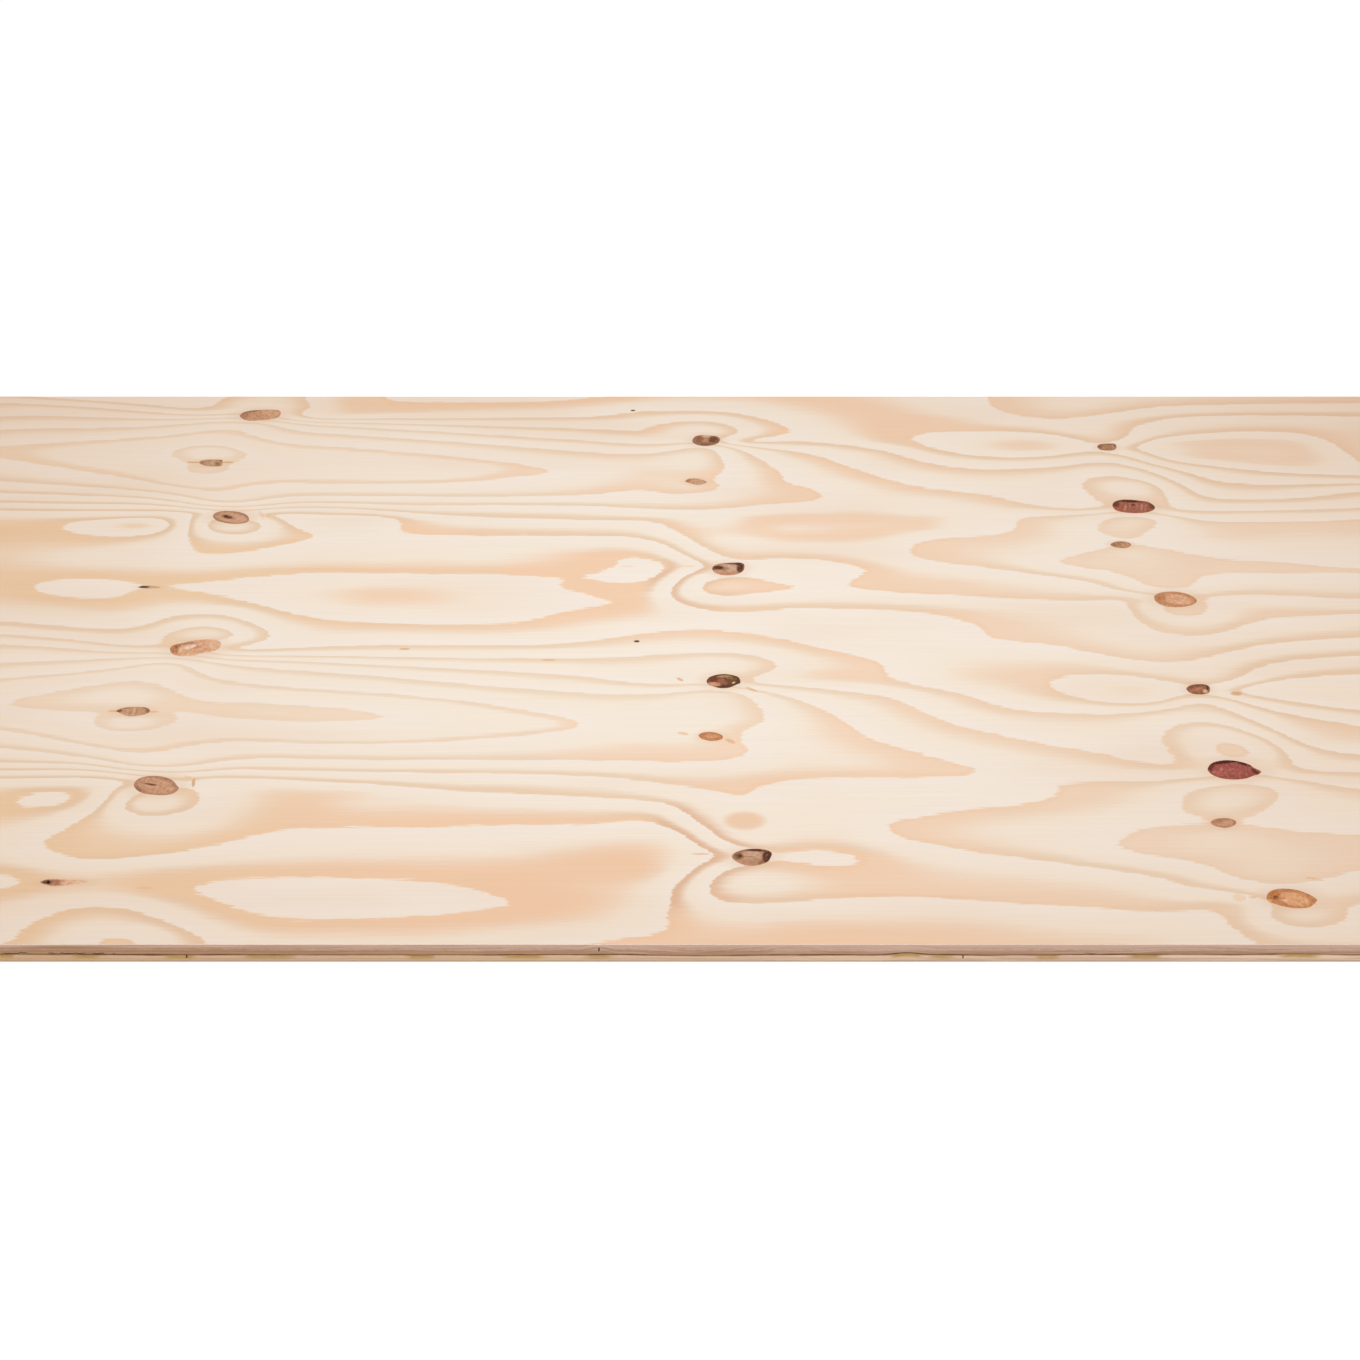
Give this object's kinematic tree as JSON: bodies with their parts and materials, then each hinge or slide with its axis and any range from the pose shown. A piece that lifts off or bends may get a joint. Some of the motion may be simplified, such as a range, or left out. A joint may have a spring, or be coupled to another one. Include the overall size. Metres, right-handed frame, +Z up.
{
  "type": "plywood sheet",
  "caption": "Flat rectangular softwood plywood sheet of crosswise glued rotary-cut veneers with knots in the face, for decking, sheathing and furniture.",
  "frame": {"origin": "centre of the underside, on the floor that the sheet lies on", "axes": "+X along the length and the face grain, +Y across the width, +Z up out of the face"},
  "size_m": [2.44, 1.22, 0.018],
  "materials": {
    "face_veneer": "sanded, unfinished pine with brown knots",
    "upper_crossband": "sawn end grain",
    "core_veneer": "sawn side grain",
    "lower_crossband": "sawn end grain with resin",
    "back_veneer": "sanded, unfinished pine with knots"
  },
  "bodies": {
    "root": {"face_veneer": "face_veneer", "upper_crossband": "upper_crossband", "core_veneer": "core_veneer", "lower_crossband": "lower_crossband", "back_veneer": "back_veneer"}
  },
  "joints": []
}
